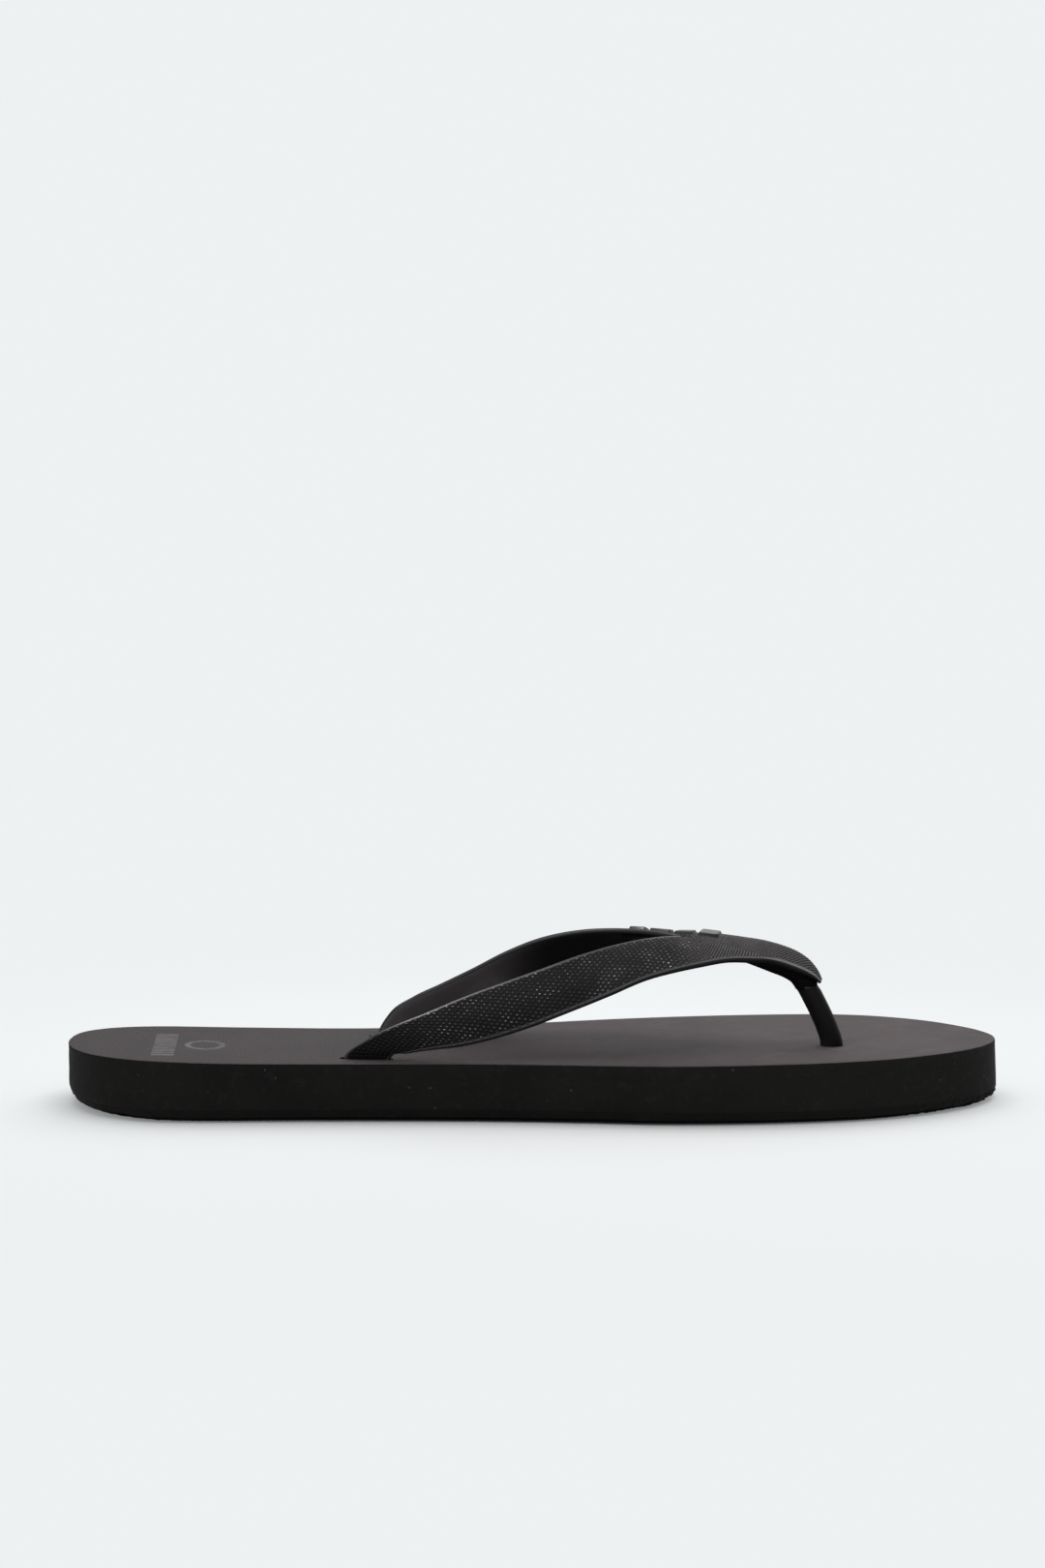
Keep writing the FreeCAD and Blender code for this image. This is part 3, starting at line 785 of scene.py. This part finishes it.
def add_plug(moulding, cx, cy):
    """Plug head with a shallow ring and a centre point on its lower face."""
    r, z0, z1 = PLUG_R, PLUG_Z0, PLUG_Z1
    # radius and height, from the centre of the lower face round to the upper face
    profile = [(0.05, z0 + 0.3), (0.7, z0 + 0.25), (1.1, z0), (r - 3.6, z0), (r - 3.3, z0 + 0.28),
               (r - 2.5, z0 + 0.28), (r - 2.2, z0), (r - 0.9, z0), (r - 0.45, z0 + 0.06),
               (r - 0.12, z0 + 0.3), (r, z0 + 0.75), (r, z1 - 0.7), (r - 0.2, z1 - 0.2),
               (r - 0.8, z1)]
    moulding.loft([at_height(circle(cx, cy, q, 80), z) for q, z in profile], rim=0.6)


# plain raised blocks on the little-toe arm: x spans, and the line (x, y) they follow
BLOCK_SPANS = [(172.7, 177.9), (178.7, 185.2), (186.0, 191.8), (193.0, 199.1)]
BLOCK_LINE = [(168.5, 7.6), (175.2, 4.4), (182.0, 1.2), (188.8, -1.9), (195.6, -5.4), (200.0, -7.0)]
BLOCK_HALF_W, BLOCK_RISE, BLOCK_EDGE_R, BLOCK_CORNER_R = 2.3, 0.85, 0.25, 0.5


def add_blocks(moulding, half):
    start = (half.join + 1) // 2
    surface = half.points[start:].reshape(-1, 3)
    normals = half.normals[start:].reshape(-1, 3)
    line_x, line_y = zip(*BLOCK_LINE)
    edge = BLOCK_EDGE_R
    # inset and height of each ring, from under the surface to the rounded top edge
    profile = [(-0.35, -1.2), (-0.22, -0.1), (0.05, BLOCK_RISE - edge)]
    for k in range(1, 5):
        a = k * math.pi / 8
        profile.append((0.05 + edge * (1 - math.cos(a)), BLOCK_RISE - edge + edge * math.sin(a)))
    for rear, front in BLOCK_SPANS:
        x = (rear + front) / 2
        before, y, after = (float(np.interp(x + d, line_x, line_y)) for d in (-1, 0, 1))
        nearest = np.argmin((surface[:, 0] - x) ** 2 + (surface[:, 1] - y) ** 2)
        centre, normal = surface[nearest], normals[nearest]
        along = unit(np.array([1.0, (after - before) / 2, 0.0]))
        along = unit(along - normal * (along @ normal))
        across = np.cross(normal, along)
        rings = []
        for inset, height in profile:
            straight_l = (front - rear) / 2 - 0.05 - inset - BLOCK_CORNER_R
            straight_w = BLOCK_HALF_W - inset - BLOCK_CORNER_R
            ring = []
            for sx, sy, first in ((1, 1, 0), (-1, 1, 90), (-1, -1, 180), (1, -1, 270)):
                for k in range(5):
                    a = math.radians(first + 22.5 * k)
                    ring.append(centre
                                + along * (sx * straight_l + BLOCK_CORNER_R * math.cos(a))
                                + across * (sy * straight_w + BLOCK_CORNER_R * math.sin(a))
                                + normal * height)
            rings.append(np.array(ring))
        # polished satin blocks; gloss and rim also paint them paler, a painted highlight
        moulding.loft(rings, gloss=0.35, rim=1)


add_toe_post(moulding)
add_keel(moulding)
add_plug(moulding, *POST)
add_blocks(moulding, little)
strap = moulding.build("strap_moulding")

rear_studs = Moulding()
for cx, cy, degrees in REAR_STEMS:
    stem = stadium(cx, cy, degrees, *STEM_SIZE)
    rear_studs.loft([at_height(stem, z) for z in (2.0, 6.0, 11.0, 15.6)], rim=0.6)
    add_plug(rear_studs, cx, cy)
studs = rear_studs.build("strap_rear_studs")


# ------------------------------------------------------------------ holes in the sole
def make_cutter(name, outlines):
    """Upright prisms reaching well past both faces of the sole."""
    work = bmesh.new()
    for points in outlines:
        low, high = ([work.verts.new(p) for p in to_frame(at_height(points, z))]
                     for z in (-5, 25))
        work.faces.new(low[::-1])
        work.faces.new(high)
        for i in range(len(points)):
            j = (i + 1) % len(points)
            work.faces.new((low[i], low[j], high[j], high[i]))
    bmesh.ops.recalc_face_normals(work, faces=work.faces)
    mesh = bpy.data.meshes.new(name)
    work.to_mesh(mesh)
    work.free()
    return link_object(name, mesh)


def cut(item, cutter):
    modifier = item.modifiers.new("cut", "BOOLEAN")
    modifier.operation = "DIFFERENCE"
    modifier.object = cutter
    modifier.solver = "EXACT"
    graph = bpy.context.evaluated_depsgraph_get()
    mesh = bpy.data.meshes.new_from_object(item.evaluated_get(graph), depsgraph=graph)
    item.modifiers.clear()
    old = item.data
    item.data = mesh
    bpy.data.meshes.remove(old)


holes = make_cutter("cut_holes", [circle(*POST, POST_HOLE_R)]
                    + [stadium(*slot, *SLOT_SIZE) for slot in REAR_SLOTS])
windows = make_cutter("cut_windows", [circle(x, y, WINDOW_R, 96)
                                      for x, y in (POST, *(stem[:2] for stem in REAR_STEMS))])
for item, cutter in ((footbed, holes), (midsole, holes), (outsole, windows)):
    cut(item, cutter)
for cutter in (holes, windows):
    bpy.data.objects.remove(cutter)

# smooth shading broken at edges steeper than this many degrees
for item, degrees in ((footbed, 38), (midsole, 38), (outsole, 38), (strap, 50), (studs, 50)):
    item.data.shade_smooth()
    item.data.set_sharp_from_angle(angle=math.radians(degrees))


# ------------------------------------------------------------------ shader helpers
class Signal:
    """Output of a shader node. Arithmetic and comparisons on it add Math nodes."""

    def __init__(self, socket):
        self.socket = socket

    def __add__(self, other):
        return calc("ADD", self, other)

    def __radd__(self, other):
        return calc("ADD", other, self)

    def __sub__(self, other):
        return calc("SUBTRACT", self, other)

    def __rsub__(self, other):
        return calc("SUBTRACT", other, self)

    def __mul__(self, other):
        return calc("MULTIPLY", self, other)

    def __truediv__(self, other):
        return calc("DIVIDE", self, other)

    def __pow__(self, other):
        return calc("POWER", self, other)

    def __gt__(self, other):
        return calc("GREATER_THAN", self, other)

    def __lt__(self, other):
        return calc("LESS_THAN", self, other)


def feed(socket, value):
    """Links a signal, or sets a number or an RGB colour."""
    if isinstance(value, Signal):
        socket.id_data.links.new(value.socket, socket)
    else:
        socket.default_value = (*value, 1) if isinstance(value, tuple) else value


def calc(operation, *values):
    tree = next(v for v in values if isinstance(v, Signal)).socket.id_data
    node = tree.nodes.new("ShaderNodeMath")
    node.operation = operation
    for socket, value in zip(node.inputs, values):
        feed(socket, value)
    return Signal(node.outputs[0])


def clamped(signal):
    signal.socket.node.use_clamp = True
    return signal


def between(signal, low, high):
    return (signal > low) * (signal < high)


class Graph:
    """Emptied node tree of a material or world."""

    def __init__(self, owner):
        owner.use_nodes = True
        self.tree = owner.node_tree
        self.tree.nodes.clear()

    def add(self, kind, inputs, output=0, **settings):
        node = self.tree.nodes.new("ShaderNode" + kind)
        for name, value in settings.items():
            setattr(node, name, value)
        for key, value in inputs.items():
            feed(node.inputs[key], value)
        return Signal(node.outputs[output])

    def finish(self, shader, kind="OutputMaterial"):
        feed(self.tree.nodes.new("ShaderNode" + kind).inputs[0], shader)

    def place(self):
        return self.add("TexCoord", {}, "Object")

    def split(self, source, kind="SeparateXYZ"):
        return [Signal(s) for s in self.add(kind, {0: source}).socket.node.outputs]

    def noise(self, place, scale, detail=3, rough=0.55):
        return self.add("TexNoise", {"Scale": scale, "Detail": detail, "Roughness": rough,
                                     "Vector": place}, "Fac")

    def cells(self, place, scale):
        return self.add("TexVoronoi", {"Scale": scale, "Vector": place}, "Distance")

    def ramp(self, factor, *stops):
        """Colour ramp; each stop is a position and a colour or grey level."""
        ramp = self.add("ValToRGB", {0: factor})
        elements = ramp.socket.node.color_ramp.elements
        while len(elements) > 1:
            elements.remove(elements[-1])
        for i, (position, colour) in enumerate(stops):
            element = elements.new(position) if i else elements[0]
            element.position = position
            element.color = (*(colour if isinstance(colour, tuple) else (colour,) * 3), 1)
        return ramp

    def mix(self, factor, first, second):
        return self.add("Mix", {0: factor, 6: first, 7: second}, 2, data_type="RGBA")

    def blend(self, factor, first, second):
        """Mix of two numbers."""
        return self.add("Mix", {0: factor, 2: first, 3: second}, data_type="FLOAT")

    def map_range(self, value, start, end, **settings):
        return self.add("MapRange", {"From Min": start, "From Max": end, "Value": value},
                        **settings)

    def bump(self, height, strength, distance):
        return self.add("Bump", {"Strength": strength, "Distance": distance, "Height": height})


def new_material(name):
    material = bpy.data.materials.new(name)
    return material, Graph(material)


# ------------------------------------------------------------------ materials
def make_footbed_foam():
    material, g = new_material("footbed_foam")
    place = g.place()
    x, y, _ = g.split(place)
    cloud, grain = g.noise(place, 28, 4, 0.6), g.noise(place, 420, 3, 0.6)
    fine = g.noise(place, 1800, 2, 0.7)
    base = g.ramp(cloud, (0.30, (0.0350, 0.0255, 0.0266)), (0.70, (0.0520, 0.0382, 0.0398)))
    base = g.mix(grain * 0.22, base, (0.066, 0.0515, 0.0530))
    # painted shade in the valleys of the cross ribs, fading forward; the sheet is also darker towards
    # the heel
    rib = calc("COSINE", (x + FRAME_X / 1000) * (2 * math.pi / (RIB / 1000))) * 0.5 + 0.5
    forward = g.map_range(x, frame_x(95), frame_x(215))
    rearward = 1.0 - forward
    base = g.mix(rib * rearward * 0.72, base, (0.010, 0.0080, 0.0083))
    base = g.mix(rearward * 0.24, base, (0.006, 0.0045, 0.0047))
    # painted shadow of the big-toe arm: a dark oval on the sheet where the arm meets it
    strap_shadow_x = (x - frame_x(99)) / 0.0150
    strap_shadow_y = (y - -0.0315) / 0.0034
    strap_shadow = clamped(1.0 - (strap_shadow_x * strap_shadow_x + strap_shadow_y * strap_shadow_y) ** 0.6)
    base = g.mix(strap_shadow * 0.62, base, (0.0085, 0.0075, 0.0076))
    # pale scuffs and dark smudges towards the toe
    scuffs = g.ramp(g.noise(place, 150, 4, 0.7), (0.50, 0.0), (0.72, 0.55))
    base = g.mix(scuffs * forward, base, (0.084, 0.068, 0.070))
    smudges = g.ramp(g.noise(place, 62, 3, 0.6), (0.55, 0.0), (0.75, 0.5))
    base = g.mix(smudges * forward, base, (0.026, 0.0225, 0.0225))
    lint = (g.cells(place, 190) < 0.055) * (g.noise(place, 70, 1) > 0.615)
    base = g.mix(lint * 0.7, base, (0.20, 0.185, 0.175))
    # worn heel print: an oval ring and a row of bars across the sole
    ring_x = (x - frame_x(41.8)) / 0.0062
    ring_y = (y - -0.002) / 0.0090
    ring = between(calc("SQRT", ring_x * ring_x + ring_y * ring_y), 0.72, 1.0)
    bars = between(x, frame_x(26.2), frame_x(33.0)) * between(y, -0.0235, 0.0195)
    bars = bars * (calc("FRACT", (y + 0.0235) / 0.0043) < 0.72)
    worn = calc("MAXIMUM", ring, bars) * g.ramp(grain, (0.35, 0.45), (0.6, 1.0))
    base = g.mix(worn * 0.78, base, (0.135, 0.128, 0.128))
    g.finish(g.add("BsdfPrincipled", {
        "Base Color": base, "Roughness": 0.82,
        "Specular IOR Level": 0.28, "Specular Tint": (1.0, 0.88, 0.90),
        "Sheen Weight": 0.05, "Sheen Roughness": 0.5,
        "Normal": g.bump(grain * 0.6 + fine * 0.4, strength=0.35, distance=0.00012)}))
    return material


def make_midsole_foam():
    material, g = new_material("midsole_foam")
    place = g.place()
    cloud, grain = g.noise(place, 35, 4, 0.6), g.noise(place, 700, 3, 0.7)
    fine = g.noise(place, 2600, 2, 0.7)
    base = g.ramp(cloud, (0.30, (0.0088, 0.0085, 0.0080)), (0.72, (0.0150, 0.0143, 0.0131)))
    specks = g.cells(place, 260) < 0.085
    ends = (calc("ABSOLUTE", g.split(place)[0]) * 7.0) ** 6     # 0 amidships, 1 at the ends
    speckled = (g.noise(place, 90, 1) + ends * 0.13) > 0.60
    base = g.mix(clamped(ends * 0.60), base, (0.0046, 0.0045, 0.0040))
    smudges = g.ramp(g.noise(place, 330, 3, 0.65), (0.55, 0.0), (0.72, 0.42))
    base = g.mix(smudges, base, (0.0235, 0.0225, 0.0225))
    flecks = g.ramp(g.noise(place, 620, 2, 0.6), (0.62, 0.0), (0.74, 0.6))
    base = g.mix(flecks * (0.25 + ends), base, (0.030, 0.028, 0.026))
    base = g.mix(specks * speckled * 0.6, base, (0.085, 0.078, 0.068))
    g.finish(g.add("BsdfPrincipled", {
        "Base Color": base, "Roughness": 0.85, "Specular IOR Level": 0.12,
        "Normal": g.bump(grain * 0.55 + fine * 0.45, strength=0.45, distance=0.00016)}))
    return material


def make_outsole_rubber():
    material, g = new_material("outsole_rubber")
    place = g.place()
    cloud, grain = g.noise(place, 40, 4, 0.6), g.noise(place, 900, 3, 0.7)
    smudges = g.ramp(g.noise(place, 120, 3, 0.6), (0.58, 0.0), (0.75, 0.25))
    base = g.ramp(cloud, (0.30, (0.0070, 0.0068, 0.0064)), (0.72, (0.0112, 0.0107, 0.0099)))
    base = g.mix(smudges, base, (0.028, 0.026, 0.024))
    g.finish(g.add("BsdfPrincipled", {
        "Base Color": base, "Roughness": 0.85, "Specular IOR Level": 0.10,
        "Normal": g.bump(grain, strength=0.4, distance=0.00015)}))
    return material


def make_strap_rubber():
    """Matt ground, polished tops of the raised points, satin rims; painted highlights on tops and rims,
    painted light on the inner face, painted shade on post, keel and rear ends.
    """
    material, g = new_material("strap_rubber")
    place = g.place()
    cloud, grain = g.noise(place, 45, 3, 0.6), g.noise(place, 1500, 3, 0.65)
    patches = g.noise(place, 160, 3, 0.6)
    finish = g.add("Attribute", {}, "Color", attribute_name="finish")
    gloss, inner, rim = g.split(finish, "SeparateColor")
    dust = Signal(finish.socket.node.outputs["Alpha"])
    base = g.ramp(cloud, (0.30, (0.0064, 0.0059, 0.0060)), (0.72, (0.0094, 0.0086, 0.0087)))
    # smooth rims painted paler: a painted highlight, besides their satin sheen
    base = g.mix(rim, base, (0.0150, 0.0142, 0.0142))
    # pale colour for dust and painted light: sheen on the bridge ridges, highlight on the rims near the
    # tip, the paler part of the big-toe arm
    base = g.mix(calc("MAXIMUM", dust, 0.0), base, (0.150, 0.1365, 0.139))
    shade = clamped(dust * -1.0)        # negative values: painted shade on the toe post and keel
    rear_end = g.map_range(g.split(place)[0], frame_x(118), frame_x(98))
    # polished tops also painted paler: a painted highlight besides their real gloss
    base = g.mix(gloss * 0.75, base, (0.058, 0.055, 0.055))
    # painted shade on post and keel, and on the arms' rear ends down by the sole, except their rims
    painted_shade = calc("MAXIMUM", shade, rear_end * 0.55 * (1.0 - rim))
    base = g.mix(painted_shade, base, (0.0022, 0.0021, 0.0021))
    # painted highlight on the rims of the rear ends
    base = g.mix(rear_end * rim * 0.75, base, (0.050, 0.0465, 0.047))
    # pale colour painted on the inner face for the light on it
    inner_painted_light = g.ramp(cloud, (0.30, (0.135, 0.122, 0.124)), (0.72, (0.165, 0.150, 0.152)))

    def by_finish(ground, polished, on_rim, on_inner):
        value = g.blend(rim, g.blend(gloss, ground, polished), on_rim)
        return g.blend(inner, value, on_inner)

    g.finish(g.add("BsdfPrincipled", {
        "Base Color": g.mix(inner, base, inner_painted_light),
        "Roughness": patches * 0.10
        + by_finish(ground=0.55, polished=0.16, on_rim=0.34, on_inner=0.50),
        "Specular IOR Level":
        by_finish(ground=0.030, polished=0.85, on_rim=0.28, on_inner=0.18),
        "Normal": g.bump(grain, strength=0.12, distance=0.00006)}))
    return material


materials = {
    "footbed_foam": make_footbed_foam(), "midsole_foam": make_midsole_foam(),
    "outsole_rubber": make_outsole_rubber(), "strap_rubber": make_strap_rubber()}
for item, slot in ((footbed, "footbed_foam"), (midsole, "midsole_foam"),
                   (outsole, "outsole_rubber"), (strap, "strap_rubber"), (studs, "strap_rubber")):
    item.data.materials.clear()
    item.data.materials.append(materials[slot])
# the footbed sheet's wall is the same black as the rest of the wall
footbed.data.materials.append(materials["midsole_foam"])
polygons = footbed.data.polygons
normals = np.zeros(len(polygons) * 3, np.float32)
polygons.foreach_get("normal", normals)
on_wall = np.abs(normals.reshape(-1, 3)[:, 2]) < 0.55
polygons.foreach_set("material_index", on_wall.astype(np.int32))

# ------------------------------------------------------------------ bodies
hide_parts("footbed_rear", "footbed_front")
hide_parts("midsole_rear", "midsole_front")
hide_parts("outsole_rear", "outsole_front")
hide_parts("strap")
for item in (footbed, midsole, outsole):
    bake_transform(item)
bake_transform(strap)
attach(studs, "rear")

# ------------------------------------------------------------------ studio, in metres
PAPER = (0.835, 0.845, 0.85)
BACKDROP = (0.848, 0.879, 0.887)
SWEEP_Y, SWEEP_R = 1.2, 1.2     # where the floor starts to curve up, and the curve's radius
HALF_WIDTH, TOP_Z = 5.0, 6.0
SURROUND_R, SURROUND_SIDES = 4.6, 64


def make_paper():
    """Paper near the object, running into a plain glow away from it."""
    material, g = new_material("studio_paper")
    cloud = g.noise(g.place(), 6, 4, 0.5)
    colour = g.ramp(cloud, (0.3, tuple(v * 0.985 for v in PAPER)), (0.7, PAPER))
    paper = g.add("BsdfPrincipled", {"Base Color": colour, "Roughness": 0.9,
                                     "Specular IOR Level": 0.2})
    glow = g.add("Emission", {0: BACKDROP})
    position = g.add("NewGeometry", {}, "Position")
    distance = g.add("VectorMath", {0: position}, "Value", operation="LENGTH")
    away = g.map_range(distance, 0.020, 0.36, interpolation_type="SMOOTHSTEP")
    g.finish(g.add("MixShader", {0: away, 1: paper, 2: glow}))
    return material


def make_sweep():
    """Seamless floor that curves up behind the object."""
    side = [(-HALF_WIDTH, 0.0), (SWEEP_Y, 0.0)]
    for k in range(1, 25):
        a = math.pi / 2 * k / 24
        side.append((SWEEP_Y + SWEEP_R * math.sin(a), SWEEP_R * (1 - math.cos(a))))
    side.append((SWEEP_Y + SWEEP_R, TOP_Z))
    points = [(x, y, z - 0.0002) for y, z in side for x in (-HALF_WIDTH, HALF_WIDTH)]
    faces = [(2 * i - 2, 2 * i - 1, 2 * i + 1, 2 * i) for i in range(1, len(side))]
    sweep = make_mesh("studio_sweep", points, faces)
    sweep.data.materials.append(make_paper())


def make_surround():
    """Plain wall all round; only the camera sees it, so it adds no light."""
    points, faces = [], []
    for i in range(SURROUND_SIDES):
        a = 2 * math.pi * i / SURROUND_SIDES
        x, y = SURROUND_R * math.cos(a), SURROUND_R * math.sin(a)
        points += [(x, y, -0.02), (x, y, TOP_Z)]
        j = (i + 1) % SURROUND_SIDES
        faces.append((2 * i, 2 * j, 2 * j + 1, 2 * i + 1))
    surround = make_mesh("studio_surround", points, faces)
    material, g = new_material("studio_surround")
    g.finish(g.add("Emission", {0: BACKDROP}))
    surround.data.materials.append(material)
    for ray in ("diffuse", "glossy", "transmission", "volume_scatter", "shadow"):
        setattr(surround, "visible_" + ray, False)


def make_world():
    """Soft grey light, brighter from above and a little from the +y side."""
    world = bpy.data.worlds.new("studio")
    bpy.context.scene.world = world
    g = Graph(world)
    _, y, z = g.split(g.add("TexCoord", {}, "Generated"))
    colour = g.ramp((y * 0.12 + z * 0.88) * 0.5 + 0.5,
                    (0.25, (0.20, 0.202, 0.205)), (0.55, (0.58, 0.59, 0.60)), (0.9, 1.0))
    g.finish(g.add("Background", {0: colour, 1: 0.46}), "OutputWorld")


def area_light(name, place, target, size, power):
    light = bpy.data.lights.new(name, "AREA")
    light.shape = "RECTANGLE"
    light.size, light.size_y = size
    light.energy = power
    item = link_object(name, light)
    item.location = place
    aim = Vector(target) - Vector(place)
    item.rotation_euler = aim.to_track_quat("-Z", "Y").to_euler()
    return item


def make_lights():
    area_light("overhead", place=(0.1, 0.25, 1.6), target=(0, 0, 0), size=(1.8, 1.4), power=16)
    area_light("back", place=(0.65, 1.4, 1.2), target=(0.03, 0, 0.02), size=(1.6, 0.8), power=8)
    glint = area_light("glint", place=(-0.35, -0.55, 1.45), target=(0.02, 0, 0.03),
                       size=(0.16, 0.16), power=46)
    glint.visible_diffuse = False
    fill = area_light("fill", place=(-1.2, -0.75, 0.26), target=(0, 0, 0.03),
                      size=(0.5, 0.4), power=3.4)
    # both of these light the strap alone
    strap_only = bpy.data.collections.new("glint_receivers")
    strap_only.objects.link(strap)
    for light in (glint, fill):
        light.light_linking.receiver_collection = strap_only


def make_camera():
    """Level with the big-toe side, tipped slightly down and turned slightly to the toe."""
    camera = bpy.data.cameras.new("camera")
    camera.sensor_width = 36.0
    camera.lens = 76.666667
    camera.clip_start, camera.clip_end = 0.01, 50
    item = link_object("camera", camera)
    item.location = (frame_x(76.8), -1.0157, 0.1753)
    item.rotation_euler = (math.radians(90 - 4.409), 0.0, math.radians(-3.5))
    bpy.context.scene.camera = item


make_sweep()
make_surround()
make_world()
make_lights()
make_camera()
bpy.context.scene.view_settings.view_transform = "Standard"
